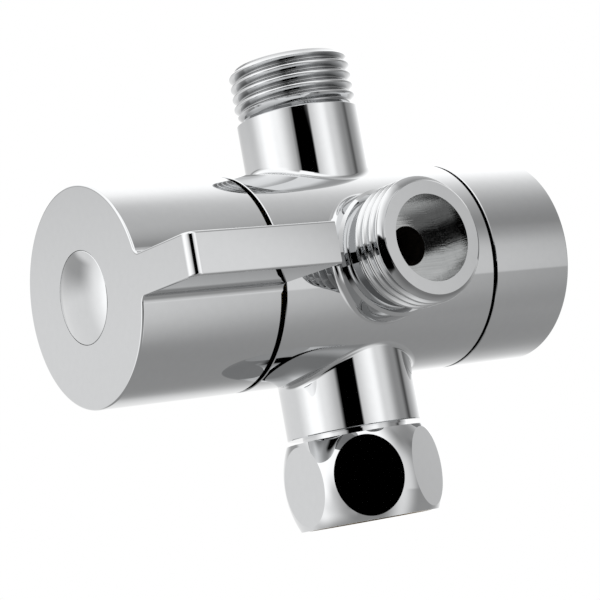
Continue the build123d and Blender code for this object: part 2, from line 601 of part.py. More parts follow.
def swivel_nut():
    """The inlet nut: turned to a barrel shape, milled to a hexagon, and tapped from below."""
    top = -INLET_REACH - NUT_GAP
    bottom = top - NUT_HEIGHT
    middle = (top + bottom) / 2
    lip_end = top - NUT_LIP
    outline = [Line((0, 0, top), (NUT_END_RADIUS, 0, top)),
               ThreePointArc((NUT_END_RADIUS, 0, top), (NUT_CROWN_RADIUS, 0, middle),
                             (NUT_END_RADIUS, 0, bottom)),
               Line((NUT_END_RADIUS, 0, bottom), (0, 0, bottom)), Line((0, 0, bottom), (0, 0, top))]
    blank = revolve(make_face(outline), Axis.Z)
    hexagon = Pos(0, 0, bottom) * (Rot(0, 0, 30) * RegularPolygon(NUT_FLATS / 2, 6, major_radius=False))
    nut = blank & extrude(hexagon, NUT_HEIGHT)
    lip_radius = SPIGOT_RADIUS + SWIVEL_CLEARANCE
    groove = -INLET_REACH - LOCK_WIRE_DROP
    groove_half = LOCK_WIRE_RADIUS + SWIVEL_CLEARANCE
    groove_radius = SPIGOT_RADIUS + LOCK_WIRE_RADIUS + SWIVEL_CLEARANCE
    washer_seat = washer_top() - WASHER_THICKNESS - SEAT_CLEARANCE
    mouth_radius = TAPPED_RADIUS + NUT_MOUTH_CHAMFER
    return nut - turned_z((0, top + OVERCUT), (lip_radius, top + OVERCUT),
                          (lip_radius, groove + groove_half), (groove_radius, groove + groove_half),
                          (groove_radius, groove - groove_half), (lip_radius, groove - groove_half),
                          (lip_radius, lip_end),
                          (WASHER_RECESS_RADIUS, lip_end), (WASHER_RECESS_RADIUS, washer_seat),
                          (TAPPED_RADIUS, washer_seat), (TAPPED_RADIUS, bottom + NUT_MOUTH_CHAMFER),
                          (mouth_radius, bottom), (mouth_radius, bottom - OVERCUT),
                          (0, bottom - OVERCUT))


def nut_lock_ring():
    return Pos(0, 0, -INLET_REACH - LOCK_WIRE_DROP) * Torus(SPIGOT_RADIUS, LOCK_WIRE_RADIUS)


def washer_top():
    """The height of the inlet washer's upper face, just under the spigot's end."""
    return -INLET_REACH - SPIGOT_LENGTH - SEAT_CLEARANCE


def inlet_washer():
    top = washer_top()
    outer = WASHER_RECESS_RADIUS - SEAT_CLEARANCE
    return turned_z((WASHER_HOLE_RADIUS, top), (outer, top), (outer, top - WASHER_THICKNESS),
                    (WASHER_HOLE_RADIUS, top - WASHER_THICKNESS))


PIECES = [valve_body, end_cap, end_cap_seal, cartridge_housing, cartridge_base, base_seal, disc_seal,
          chamber_seal, fixed_disc, moving_disc, thrust_washer, spindle, spindle_seals, spindle_clip,
          retaining_nut, guide_ring, knob, spline_insert, handle_screw, screw_cover, swivel_nut,
          nut_lock_ring, inlet_washer]

os.makedirs("parts", exist_ok=True)
for piece in PIECES:
    placed = Pos(0, 0, AXIS_HEIGHT) * piece()
    export_step(placed, f"parts/{piece.__name__}.step")
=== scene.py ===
import bpy
import json
import numpy as np
from mathutils import Matrix


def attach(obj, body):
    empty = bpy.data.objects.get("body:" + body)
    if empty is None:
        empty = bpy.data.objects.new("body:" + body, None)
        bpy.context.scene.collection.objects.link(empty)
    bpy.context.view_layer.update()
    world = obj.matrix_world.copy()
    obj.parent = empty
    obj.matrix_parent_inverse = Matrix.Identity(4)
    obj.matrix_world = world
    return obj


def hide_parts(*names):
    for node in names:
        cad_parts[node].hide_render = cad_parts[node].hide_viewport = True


# Shower diverter valve. Sizes are millimetres in the barrel's own frame: x along the barrel to the end cap,
# -y to the front outlet, z up, and z = 0 on the barrel's axis, which lies AXIS_HEIGHT above the row's
# origin.
AXIS_HEIGHT = 42.7
MM = 0.001

BARREL = 18.15
BODY_LEFT, BODY_RIGHT = -21.0, 22.5
BODY_EDGE = 0.12
NECK_FILLET = 1.2
PITCH = 1.814
THREAD_CREST = 10.58
CREST_ROUND, ROOT_ROUND, CUT_ROUND = 0.3, 0.2, 0.1
THREAD_HALF_ANGLE = np.radians(27.5)
THREAD_ROOT = THREAD_CREST - (CREST_ROUND + ROOT_ROUND) * (1 - np.sin(THREAD_HALF_ANGLE)) - (
    PITCH / 2 - (CREST_ROUND + ROOT_ROUND) * np.cos(THREAD_HALF_ANGLE)) / np.tan(THREAD_HALF_ANGLE)
RELIEF = 9.4
OUTLET_FACE, OUTLET_BEVEL = 9.4, 1.2
OUTLET_BORE, OUTLET_BORE_DEPTH = 7.25, 6.5
PASSAGE, PASSAGE_END = 3.35, 4.5

# Each outlet: its neck's radius, and along its axis the neck's shoulder, the thread's foot, a crest at the
# first angle and the open face
TOP_NECK, TOP_SHOULDER, TOP_THREAD, TOP_CREST, TOP_REACH = 10.65, 28.12, 29.0, 24.4, 38.0
FRONT_NECK, FRONT_SHOULDER, FRONT_THREAD, FRONT_CREST, FRONT_REACH = 10.85, 19.55, 22.3, 17.0, 30.45
FRONT_CHAMFER = 0.5

# The inlet's neck and spigot, the groove for the nut's wire ring, its bore and the narrower way behind
INLET_NECK, INLET_REACH, INLET_EDGE = 11.6, 27.15, 0.15
SPIGOT, SPIGOT_END = 9.0, 33.0
WIRE_FLOOR, WIRE_TOP, WIRE_BOTTOM = 8.4, 29.5, 30.9
INLET_BORE, INLET_BORE_END = 6.2, 19.0
INLET_WAY, INLET_WAY_END = 3.0, 2.3

# The cartridge's chamber at the barrel's left end, and the cap's spigot and the core hole at its right end
CHAMBER, CHAMBER_STEP, CHAMBER_NECK, CHAMBER_FLOOR = 14.0, -14.75, 12.6, -7.0
CAP_SPIGOT, CAP_SPIGOT_END = 14.6, 31.4
CORE, CORE_FLOOR = 10.5, 9.0

KNOB_LEFT, KNOB_RIGHT = -48.05, -21.75
KNOB_ROUND = 0.4
KNOB_BEVEL = 0.38
LEVER_TIP = -33.35
LEVER_HALF = 3.4
LEVER_ROOT = 1.3
LEVER_CORNER = 1.8
LEVER_LEAN = 0.95
COVER = 7.6
COVER_CROWN = 1.4
COVER_EDGE = 0.2
COVER_GAP = 0.05
# The button's seat and skirt, and the knob's hollow with the hub for the spline insert
COVER_RECESS, COVER_SKIRT = 4.0, 3.9
HOLLOW, HOLLOW_FLOOR = 15.55, -41.05
HUB, HUB_END = 8.0, -30.93
HUB_BORE, HUB_BORE_FLOOR = 5.55, -39.13

CAP_LEFT, CAP_RIGHT = 23.2, 39.7
CAP_EDGE = 0.3
CAP_BORE, CAP_FLOOR = 14.65, 36.7

NUT_TOP, NUT_BOTTOM = -28.05, -42.7
NUT_CROWN, NUT_END, NUT_FLAT = 13.52, 11.95, 12.18
NUT_TURN = np.radians(-0.8)
# Inside the nut: the collar round the spigot, its wire groove, and the seat of the washer
COLLAR, COLLAR_END, NUT_WIRE = 9.1, -31.95, 9.7
SEAT, SEAT_HEIGHT = 9.75, -35.1
MOUTH_CLEARANCE = 0.04

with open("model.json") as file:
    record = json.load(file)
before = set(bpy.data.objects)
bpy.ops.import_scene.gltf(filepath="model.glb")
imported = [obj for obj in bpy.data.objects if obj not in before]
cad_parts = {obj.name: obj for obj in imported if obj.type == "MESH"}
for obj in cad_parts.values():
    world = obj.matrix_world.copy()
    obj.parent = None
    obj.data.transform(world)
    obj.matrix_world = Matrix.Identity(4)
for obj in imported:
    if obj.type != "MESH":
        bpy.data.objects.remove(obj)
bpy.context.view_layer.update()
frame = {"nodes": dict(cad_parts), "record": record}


# Grids of points


class Patches:
    """Grids of points with their outward normals, joined into one closed mesh."""

    def __init__(self):
        self.grids = []

    def add(self, points, normals, finish=0):
        """One grid of shape (rows, columns, 3) with a normal at each point and the number of its finish."""
        points = np.broadcast_arrays(points, np.zeros(3))[0].astype(float)
        normals = np.broadcast_to(normals, points.shape).astype(float)
        normals = normals / np.linalg.norm(normals, axis=2, keepdims=True)
        self.grids.append((points, normals, finish))

    def turn(self, matrix):
        """Turns every grid by a 3 x 3 matrix."""
        self.grids = [(p @ matrix.T, n @ matrix.T, f) for p, n, f in self.grids]
        return self

    def join(self, other):
        self.grids += other.grids
        return self

    def build(self, name, body, replaced, slot, materials):
        """Each cell of a grid is a face. Points that coincide are merged, so that neighbouring grids share
        their edge, and a cell that shrinks to a line is dropped. Each corner keeps its own grid's
        normal."""
        corners, normals, finishes = [], [], []
        for points, normal, finish in self.grids:
            cell = [points[:-1, :-1], points[1:, :-1], points[1:, 1:], points[:-1, 1:]]
            face = [normal[:-1, :-1], normal[1:, :-1], normal[1:, 1:], normal[:-1, 1:]]
            across = np.cross(cell[2] - cell[0], cell[3] - cell[1])
            if np.sum(across * (face[0] + face[2])) < 0:
                cell, face = cell[::-1], face[::-1]
            cell = np.stack(cell, axis=2).reshape(-1, 4, 3)
            corners.append(cell)
            normals.append(np.stack(face, axis=2).reshape(-1, 4, 3))
            finishes.append(np.full(len(cell), finish))
        corners, normals = np.concatenate(corners), np.concatenate(normals)
        finishes = np.concatenate(finishes)
        keys = np.round(corners.reshape(-1, 3) * 1e4).astype(np.int64)
        _, first, index = np.unique(keys, axis=0, return_index=True, return_inverse=True)
        vertices = corners.reshape(-1, 3)[first] + (0, 0, AXIS_HEIGHT)
        quads = index.reshape(-1, 4)
        same = quads == np.roll(quads, -1, axis=1)
        opposite = (quads[:, 0] == quads[:, 2]) | (quads[:, 1] == quads[:, 3])
        whole = (same.sum(axis=1) == 0) & ~opposite
        three = (same.sum(axis=1) == 1) & ~opposite
        kept = ~same[three]
        triangles = quads[three][kept].reshape(-1, 3)
        triangle_normals = normals[three][kept].reshape(-1, 3)
        mesh = bpy.data.meshes.new(name)
        mesh.from_pydata(vertices * MM, [], quads[whole].tolist() + triangles.tolist())
        mesh.polygons.foreach_set("material_index", np.concatenate([finishes[whole], finishes[three]]))
        for material in materials:
            mesh.materials.append(material)
        mesh.shade_smooth()
        mesh.normals_split_custom_set(np.concatenate([normals[whole].reshape(-1, 3), triangle_normals]))
        mesh.update()
        piece = bpy.data.objects.new(name, mesh)
        bpy.context.scene.collection.objects.link(piece)
        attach(piece, body)
        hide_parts(*replaced)


def turned(patches, outline, angles, finish=0):
    """A surface of revolution about z. outline lists (radius, height) corners from one end to the other,
    with the material on the left of the line that joins them, seen with the radius to the right and the
    height up. Each straight run is a grid: point = (r cos a, r sin a, h), normal = the run's own normal
    turned to the angle a."""
    cos, sin = np.cos(angles)[:, None], np.sin(angles)[:, None]
    for (r0, h0), (r1, h1) in zip(outline[:-1], outline[1:]):
        r, h = np.array([r0, r1]), np.array([h0, h1])
        length = np.hypot(r1 - r0, h1 - h0)
        out, up = (h1 - h0) / length, -(r1 - r0) / length
        points = np.stack([r * cos, r * sin, h + 0 * cos], axis=2)
        normals = np.stack([out * cos, out * sin, up + 0 * cos], axis=2)
        patches.add(points, normals, finish)


def turned_arc(patches, centre, radius, start, end, angles, steps=6):
    """A rounded edge of revolution about z: an arc of the given radius about centre = (radius, height),
    from one angle of its section to another. The normal points away from the arc's centre."""
    cos, sin = np.cos(angles)[:, None], np.sin(angles)[:, None]
    t = np.linspace(start, end, steps + 1)
    r, h = centre[0] + radius * np.cos(t), centre[1] + radius * np.sin(t)
    points = np.stack([r * cos, r * sin, h + 0 * cos], axis=2)
    normals = np.stack([np.cos(t) * cos, np.cos(t) * sin, np.sin(t) + 0 * cos], axis=2)
    patches.add(points, normals)


# x of a turned piece runs along the barrel: the solid's own z becomes x, and its x becomes y
ALONG_BARREL = np.array([[0, 0, 1], [1, 0, 0], [0, 1, 0]], dtype=float)
TO_FRONT = np.array([[1, 0, 0], [0, 0, -1], [0, 1, 0]], dtype=float)
TO_BELOW = np.array([[1, 0, 0], [0, -1, 0], [0, 0, -1]], dtype=float)
UPRIGHT = np.eye(3)


# Threads


def thread_profile(depth):
    """Radius of the thread and its slope at a distance along the axis from a crest: an arc at the crest, a
    straight flank, and an arc at the root. Buffing before the plating has rounded the crests and opened the
    flanks."""
    turns = (depth / PITCH + 0.5) % 1 - 0.5
    d = np.abs(turns) * PITCH
    from_root = PITCH / 2 - d
    crest_end, root_end = CREST_ROUND * np.cos(THREAD_HALF_ANGLE), ROOT_ROUND * np.cos(THREAD_HALF_ANGLE)
    steep = 1 / np.tan(THREAD_HALF_ANGLE)
    crest_height = np.sqrt(np.maximum(CREST_ROUND ** 2 - d ** 2, 1e-9))
    root_height = np.sqrt(np.maximum(ROOT_ROUND ** 2 - from_root ** 2, 1e-9))
    flank = THREAD_CREST - CREST_ROUND * (1 - np.sin(THREAD_HALF_ANGLE)) - (d - crest_end) * steep
    radius = np.where(d < crest_end, THREAD_CREST - CREST_ROUND + crest_height,
                      np.where(from_root < root_end, THREAD_ROOT + ROOT_ROUND - root_height, flank))
    near_root = np.where(from_root < root_end, -from_root / root_height, -steep)
    slope = np.where(d < crest_end, -d / crest_height, near_root)
    return radius, slope * np.sign(turns)


def thread(patches, start, end, crest, angles, trim, finish, inner=False):
    """A helical thread between two heights: along the grid's one side the angle grows turn after turn, and
    along its other side the height grows by one pitch, so each turn's edge meets the next. crest is the
    height of a crest at the first angle. trim(height, radius, slope, share) cuts the thread's own radius
    back at its ends, and every height is kept between start and end."""
    crest_end, root_end = CREST_ROUND * np.cos(THREAD_HALF_ANGLE), ROOT_ROUND * np.cos(THREAD_HALF_ANGLE)
    across = np.concatenate([
        np.linspace(-crest_end, crest_end, 13), np.linspace(crest_end, PITCH / 2 - root_end, 5)[1:-1],
        np.linspace(PITCH / 2 - root_end, PITCH / 2 + root_end, 5),
        np.linspace(PITCH / 2 + root_end, PITCH - crest_end, 5)[1:]])
    turns = int(np.ceil((end - start) / PITCH)) + 4
    whole_turns = [angles[:-1] + 2 * np.pi * turn for turn in range(turns)]
    around = np.concatenate(whole_turns + [angles[-1:] + 2 * np.pi * (turns - 1)])
    crest_height = first_crest(start, crest) + PITCH * (around[:, None] - angles[0]) / (2 * np.pi)
    height = np.clip(crest_height + across, start, end)
    own_radius, own_slope = thread_profile(height - crest_height)
    radius, slope, share = trim(height, own_radius, own_slope, 1.0)
    cos, sin = np.cos(around)[:, None], np.sin(around)[:, None]
    points = np.stack([radius * cos, radius * sin, height], axis=2)
    swirl = share * own_slope * PITCH / (2 * np.pi * radius)
    normals = np.stack([cos - swirl * sin, sin + swirl * cos, -slope], axis=2)
    patches.add(points, -normals if inner else normals, finish)


def first_crest(start, crest):
    """The height of the crest that a thread begins with, more than a turn below its start."""
    return crest - PITCH * np.ceil((crest - start) / PITCH + 1.5)


def thread_edge(height, start, crest, angles, trim):
    """The thread's radius all round at one height, for the flat that closes it there."""
    risen = PITCH * (angles - angles[0]) / (2 * np.pi)
    radius, slope = thread_profile(height - first_crest(start, crest) - risen)
    return trim(np.full(angles.shape, height), radius, slope, 1.0)[0]


def cut_to(radius, slope, share, bound, bound_slope, above=True):
    """A thread's radius and slope, replaced by a cone's where the thread stands above it, or lies below it,
    with a small rounding where the two meet: half the sum of both less the root of their difference squared
    plus CUT_ROUND squared. share is how far the thread itself still makes the surface."""
    side = 1 if above else -1
    gap = side * (radius - bound)
    spread = np.sqrt(gap ** 2 + CUT_ROUND ** 2)
    own = (1 - gap / spread) / 2
    return (radius + bound - side * spread) / 2, own * slope + (1 - own) * bound_slope, share * own


# Body


ALONG_X = 44
ROUND_QUARTER = 48


def neck_joint(patches, neck):
    """A quarter of the barrel, 45 degrees each side of the neck that stands up from it, and the fillet
    between them. The barrel is unrolled to (x, barrel radius times angle). A ball of the fillet's radius
    rolls round the neck: its centre is ((r + f) cos a, (r + f) sin a, root((R + f)^2 - ((r + f) sin a)^2)),
    it touches the barrel on the line to the axis and the neck at its own height, and the fillet is the arc
    between the two touches. Straight lines in the unrolled barrel join the ball's track to the quarter's
    edges. Returns the angles of the columns and the heights at which the fillet ends on the neck."""
    f = NECK_FILLET
    track = np.linspace(-np.pi, np.pi, 2881)

    def ball(angle):
        x, y = (neck + f) * np.cos(angle), (neck + f) * np.sin(angle)
        return np.stack([x, y, np.sqrt((BARREL + f) ** 2 - y ** 2)], axis=-1)

    centre = ball(track)
    bearing = np.unwrap(np.arctan2(BARREL * np.arctan2(centre[:, 1], centre[:, 2]), centre[:, 0]))
    x0, x1 = BODY_LEFT + BODY_EDGE, BODY_RIGHT - BODY_EDGE
    half = BARREL * np.pi / 4
    xs = np.linspace(x0, x1, ALONG_X + 1)
    ss = np.linspace(-half, half, ROUND_QUARTER + 1)
    rim = np.concatenate([
        np.stack([xs[:-1], 0 * xs[:-1] - half], axis=1), np.stack([0 * ss[:-1] + x1, ss[:-1]], axis=1),
        np.stack([xs[:0:-1], 0 * xs[1:] + half], axis=1), np.stack([0 * ss[1:] + x0, ss[:0:-1]], axis=1)])
    rim = np.concatenate([rim, rim[:1]])
    wanted = np.unwrap(np.arctan2(rim[:, 1], rim[:, 0]))
    angles = np.interp(wanted[:-1], np.concatenate([bearing, bearing[1:] + 2 * np.pi]),
                       np.concatenate([track, track[1:] + 2 * np.pi]))
    angles = np.concatenate([angles, [angles[0] + 2 * np.pi]])
    centre = ball(angles)
    hole = np.stack([centre[:, 0], BARREL * np.arctan2(centre[:, 1], centre[:, 2])], axis=1)
    share = np.linspace(0, 1, 22)[:, None, None] ** 1.3
    flat = hole + share * (rim - hole)
    lean = flat[..., 1] / BARREL
    out = np.stack([0 * lean, np.sin(lean), np.cos(lean)], axis=2)
    points = BARREL * out
    points[..., 0] = flat[..., 0]
    patches.add(points, out)

    on_barrel = centre * (1, BARREL / (BARREL + f), BARREL / (BARREL + f))
    on_neck = np.stack([neck * np.cos(angles), neck * np.sin(angles), centre[:, 2]], axis=1)
    a, b = (on_barrel - centre) / f, (on_neck - centre) / f
    opening = np.arccos(np.clip(np.sum(a * b, axis=1), -1, 1))[None, :, None]
    t = np.linspace(0, 1, 11)[:, None, None]
    ray = (np.sin((1 - t) * opening) * a + np.sin(t * opening) * b) / np.sin(opening)
    patches.add(centre + f * ray, -ray)
    return angles, centre[:, 2]


def neck_wall(patches, neck, angles, foot, head):
    """The neck's straight wall from the fillet's wavy edge up to one height."""
    share = np.linspace(0, 1, 7)[:, None]
    height = foot + share * (head - foot)
    out = np.stack([np.cos(angles), np.sin(angles), 0 * angles], axis=1)
    points = neck * out + np.zeros(height.shape + (1,))
    points[..., 2] = height
    patches.add(points, out)


def ring_between(patches, inner, outer, height, angles, up, finish=0):
    """A flat ring square to z between two radii, either of which may change round the ring."""
    r = np.stack([np.broadcast_to(inner, angles.shape), np.broadcast_to(outer, angles.shape)])
    points = np.stack([r * np.cos(angles), r * np.sin(angles), 0 * r + height], axis=2)
    patches.add(points, (0, 0, up), finish)


def outlet(neck, shoulder, start, crest, reach, matrix):
    """One outlet from its quarter of the barrel to its open face, with its relief groove, thread, bore and
    way. shoulder lists the corners from the neck's wall to the groove, and start is where the thread rises
    from it."""
    patches = Patches()
    angles, foot = neck_joint(patches, neck)
    neck_wall(patches, neck, angles, foot, shoulder[0][1])
    turned(patches, shoulder + [(RELIEF, start)], angles)

    def trim(height, *own):
        cut = cut_to(*own, RELIEF + height - start, 1.0)
        return cut_to(*cut, OUTLET_FACE + OUTLET_BEVEL * (reach - height), -OUTLET_BEVEL)

    foot_edge = thread_edge(start, start, crest, angles, trim)
    ring_between(patches, np.minimum(foot_edge, RELIEF), np.maximum(foot_edge, RELIEF), start, angles, -1)
    thread(patches, start, reach, crest, angles, trim, finish=3)
    edge = thread_edge(reach, start, crest, angles, trim)
    ring_between(patches, OUTLET_BORE, edge, reach, angles, 1)
    floor = reach - OUTLET_BORE_DEPTH
    turned(patches, [(OUTLET_BORE, reach), (OUTLET_BORE, floor), (PASSAGE, floor)], angles, finish=1)
    turned(patches, [(PASSAGE, floor), (PASSAGE, PASSAGE_END), (0, PASSAGE_END)], angles, finish=2)
    return patches.turn(matrix)


def inlet():
    """The inlet neck and the spigot that the nut hangs on, with its wire groove, bore and way."""
    patches = Patches()
    angles, foot = neck_joint(patches, INLET_NECK)
    neck_wall(patches, INLET_NECK, angles, foot, INLET_REACH - INLET_EDGE)
    turned(patches, [(INLET_NECK, INLET_REACH - INLET_EDGE), (INLET_NECK - INLET_EDGE, INLET_REACH),
                     (SPIGOT, INLET_REACH), (SPIGOT, WIRE_TOP), (WIRE_FLOOR, WIRE_TOP),
                     (WIRE_FLOOR, WIRE_BOTTOM), (SPIGOT, WIRE_BOTTOM), (SPIGOT, SPIGOT_END),
                     (INLET_BORE, SPIGOT_END)], angles)
    turned(patches, [(INLET_BORE, SPIGOT_END), (INLET_BORE, INLET_BORE_END), (INLET_WAY, INLET_BORE_END)],
           angles, finish=1)
    turned(patches, [(INLET_WAY, INLET_BORE_END), (INLET_WAY, INLET_WAY_END), (0, INLET_WAY_END)],
           angles, finish=2)
    return patches.turn(TO_BELOW)


def barrel_ends():
    """The barrel's back quarter, its two ends, the cartridge's chamber and the spigot for the end cap."""
    patches = Patches()
    around = np.linspace(-np.pi / 4, np.pi / 4, ROUND_QUARTER + 1)[:, None]
    xs = np.linspace(BODY_LEFT + BODY_EDGE, BODY_RIGHT - BODY_EDGE, ALONG_X + 1)
    out = np.stack([0 * around + 0 * xs, np.cos(around) + 0 * xs, np.sin(around) + 0 * xs], axis=2)
    points = BARREL * out
    points[..., 0] = xs
    patches.add(points, out)
    ends = Patches()
    ring = np.linspace(-np.pi / 4, 7 * np.pi / 4, 4 * ROUND_QUARTER + 1)
    turned(ends, [(BARREL, BODY_RIGHT - BODY_EDGE), (BARREL - BODY_EDGE, BODY_RIGHT),
                  (CAP_SPIGOT, BODY_RIGHT), (CAP_SPIGOT, CAP_SPIGOT_END), (CORE, CAP_SPIGOT_END),
                  (CORE, CORE_FLOOR), (0, CORE_FLOOR)], ring)
    turned(ends, [(0, CHAMBER_FLOOR), (CHAMBER_NECK, CHAMBER_FLOOR), (CHAMBER_NECK, CHAMBER_STEP),
                  (CHAMBER, CHAMBER_STEP), (CHAMBER, BODY_LEFT), (BARREL - BODY_EDGE, BODY_LEFT),
                  (BARREL, BODY_LEFT + BODY_EDGE)], ring)
    return patches.join(ends.turn(ALONG_BARREL))


# Knob


def knob_section():
    """The knob's end view from the lever's upper root, round the back, to its lower root: points, outward
    normals and what each stretch is. The circle's radius is the barrel's, and each root is an arc that
    touches the circle and the lever's flat side."""
    centre_y = -np.sqrt((BARREL + LEVER_ROOT) ** 2 - (LEVER_HALF + LEVER_ROOT) ** 2)
    centre = np.array([centre_y, LEVER_HALF + LEVER_ROOT])
    touch = np.arctan2(centre[1], centre[0])
    around = np.linspace(touch, -touch, 193)
    circle = np.stack([np.cos(around), np.sin(around)], axis=1)
    root_angle = np.linspace(-np.pi / 2, touch - np.pi, 11)
    root_out = np.stack([np.cos(root_angle), np.sin(root_angle)], axis=1)
    upper = centre + LEVER_ROOT * root_out
    lower = (upper * (1, -1))[::-1]
    points = np.concatenate([upper, BARREL * circle[1:-1], lower])
    normals = np.concatenate([-root_out, circle[1:-1], (-root_out * (1, -1))[::-1]])
    bevel_share = np.clip((touch - np.abs(around)) / np.radians(1.2), 0, 1)
    bevel = KNOB_BEVEL * bevel_share * bevel_share * (3 - 2 * bevel_share)
    bevel = np.concatenate([np.zeros(10), bevel, np.zeros(10)])
    return points, normals, bevel, centre_y


def knob():
    """The knob with its lever: the end view's outline carried along x, with a rounded edge at the end face
    and a bevel at the body, then the lever's band, corner and tip, and the turned hollow."""
    patches = Patches()
    outline, out, bevel, root_y = knob_section()
    count = len(outline)

    def place(x, yz):
        x = np.broadcast_to(x, yz.shape[:-1])
        return np.stack([x, yz[..., 0], yz[..., 1]], axis=-1)

    out3 = place(0.0, out)
    along = np.linspace(0, 1, 25)[:, None]
    side_x = KNOB_LEFT + KNOB_ROUND + along * (KNOB_RIGHT - bevel - KNOB_LEFT - KNOB_ROUND)
    patches.add(place(side_x, np.broadcast_to(outline, (25, count, 2))), out3)
    bevel_end = place(KNOB_RIGHT, outline - bevel[:, None] * out)
    bevel_points = np.stack([place(KNOB_RIGHT - bevel, outline), bevel_end])
    patches.add(bevel_points, out3 + (1, 0, 0))

    turn = np.linspace(0, np.pi / 2, 7)[:, None]
    edge_x = KNOB_LEFT + KNOB_ROUND * (1 - np.sin(turn))
    inset = KNOB_ROUND * (1 - np.cos(turn))[..., None]
    edge_points = place(np.broadcast_to(edge_x, (7, count)), outline - inset * out)
    edge_normals = np.cos(turn)[..., None] * out3 + np.sin(turn)[..., None] * np.array([-1.0, 0, 0])
    patches.add(edge_points, edge_normals)

    # The end face and the rim beside the body: rings out to the outline, closed across the lever's root by
    # a line
    line = np.linspace(-1, 1, 9)[1:-1, None]
    band = LEVER_HALF - KNOB_ROUND
    face_line = np.concatenate([0 * line + root_y, line * band], axis=1)
    rim_line = np.concatenate([0 * line + root_y, line * LEVER_HALF], axis=1)
    face_rim = np.concatenate([outline - KNOB_ROUND * out, face_line, (outline - KNOB_ROUND * out)[:1]])
    back_rim = np.concatenate([outline - bevel[:, None] * out, rim_line, outline[:1]])
    for rim, hole, x, way in ((face_rim, COVER + COVER_GAP, KNOB_LEFT, -1),
                              (back_rim, HOLLOW, KNOB_RIGHT, 1)):
        bearing = np.arctan2(rim[:, 1], rim[:, 0])
        ring = hole * np.stack([np.cos(bearing), np.sin(bearing)], axis=1)
        share = np.linspace(0, 1, 5)[:, None, None]
        patches.add(place(x, ring + share * (rim - ring)), (way, 0, 0))
        hollow = Patches()
        if way < 0:
            floor = KNOB_LEFT + COVER_RECESS
            turned(hollow, [(0, floor), (hole, floor), (hole, KNOB_LEFT)], bearing)
        else:
            turned(hollow, [(HOLLOW, KNOB_RIGHT), (HOLLOW, HOLLOW_FLOOR), (HUB, HOLLOW_FLOOR), (HUB, HUB_END),
                            (HUB_BORE, HUB_END), (HUB_BORE, HUB_BORE_FLOOR), (0, HUB_BORE_FLOOR)], bearing)
        patches.join(hollow.turn(ALONG_BARREL))

    # The lever: rows run from its root to its tip, and the last rows turn with the corner
    straight = LEVER_TIP + LEVER_CORNER
    rows_y = np.linspace(root_y, straight, 9)
    corner = np.linspace(0, np.pi / 2, 9)[1:]
    small = LEVER_CORNER - KNOB_ROUND
    path_x = np.concatenate([0 * rows_y + KNOB_LEFT + KNOB_ROUND,
                             KNOB_LEFT + KNOB_ROUND + small * (1 - np.cos(corner))])
    path_y = np.concatenate([rows_y, straight - small * np.sin(corner)])
    path_out = np.concatenate([np.stack([0 * rows_y - 1, 0 * rows_y], axis=1),
                               np.stack([-np.cos(corner), -np.sin(corner)], axis=1)])

    def right(y):
        foot = -BARREL - LEVER_ROOT
        return KNOB_RIGHT + LEVER_LEAN * np.clip((foot - y) / (foot - LEVER_TIP), 0, 1)

    across = np.linspace(0, 1, 25)
    grid_x = path_x[:, None] + across * (right(path_y) - path_x)[:, None]
    grid_y = np.broadcast_to(path_y[:, None], grid_x.shape)
    turn = np.linspace(0, np.pi / 2, 7)
    tip_y = LEVER_TIP + KNOB_ROUND * (1 - np.sin(turn))
    tip_x = KNOB_LEFT + LEVER_CORNER + across * (right(tip_y) - KNOB_LEFT - LEVER_CORNER)[:, None]
    for side in (1, -1):
        patches.add(np.stack([grid_x, grid_y, 0 * grid_x + side * LEVER_HALF], axis=2), (0, 0, side))
        bend = path_out[None] * np.sin(turn)[:, None, None] * KNOB_ROUND
        height = side * (band + KNOB_ROUND * np.cos(turn))[:, None]
        points = np.stack([path_x + bend[..., 0], path_y + bend[..., 1], height + 0 * path_x], axis=2)
        lift = np.cos(turn)[:, None] + 0 * path_x
        sideways = path_out[None] * np.sin(turn)[:, None, None]
        normals = np.concatenate([sideways, side * lift[..., None]], axis=2)
        patches.add(points, normals)
        tip = np.stack([tip_x, 0 * tip_x + tip_y[:, None], 0 * tip_x + height], axis=2)
        ones = np.ones(tip_x.shape)
        tip_normals = [0 * ones, -np.sin(turn)[:, None] * ones, side * np.cos(turn)[:, None] * ones]
        patches.add(tip, np.stack(tip_normals, axis=2))
    level = np.linspace(-1, 1, 9)
    outer = np.stack([path_x, path_y], axis=1) + KNOB_ROUND * path_out
    band_points = np.stack([outer[:, None, 0] + 0 * level, outer[:, None, 1] + 0 * level,
                            0 * outer[:, None, 0] + band * level], axis=2)
    patches.add(band_points, np.concatenate([path_out, 0 * path_out[:, :1]], axis=1)[:, None, :])
    # Buffing leaves the band at the tip a little crowned, which its normals alone give
    last = tip_x[-1][:, None]
    lean_x = np.radians(-4.0 + 5.0 * across)[:, None] + 0 * level
    crowned = np.stack([last + 0 * level, 0 * last + LEVER_TIP + 0 * level, 0 * last + band * level], axis=2)
    crowned_out = np.stack([lean_x, 0 * lean_x - 1, 0 * lean_x + np.radians(2.5) * level], axis=2)
    patches.add(crowned, crowned_out)
    end_y = np.concatenate([path_y, tip_y[1:]])
    end_half = np.concatenate([0 * path_y + LEVER_HALF, band + KNOB_ROUND * np.cos(turn)[1:]])
    end_points = np.stack([right(end_y)[:, None] + 0 * level, end_y[:, None] + 0 * level,
                           end_half[:, None] * level], axis=2)
    slope = LEVER_LEAN / (-BARREL - LEVER_ROOT - LEVER_TIP)
    patches.add(end_points, (1, slope, 0))
    return patches


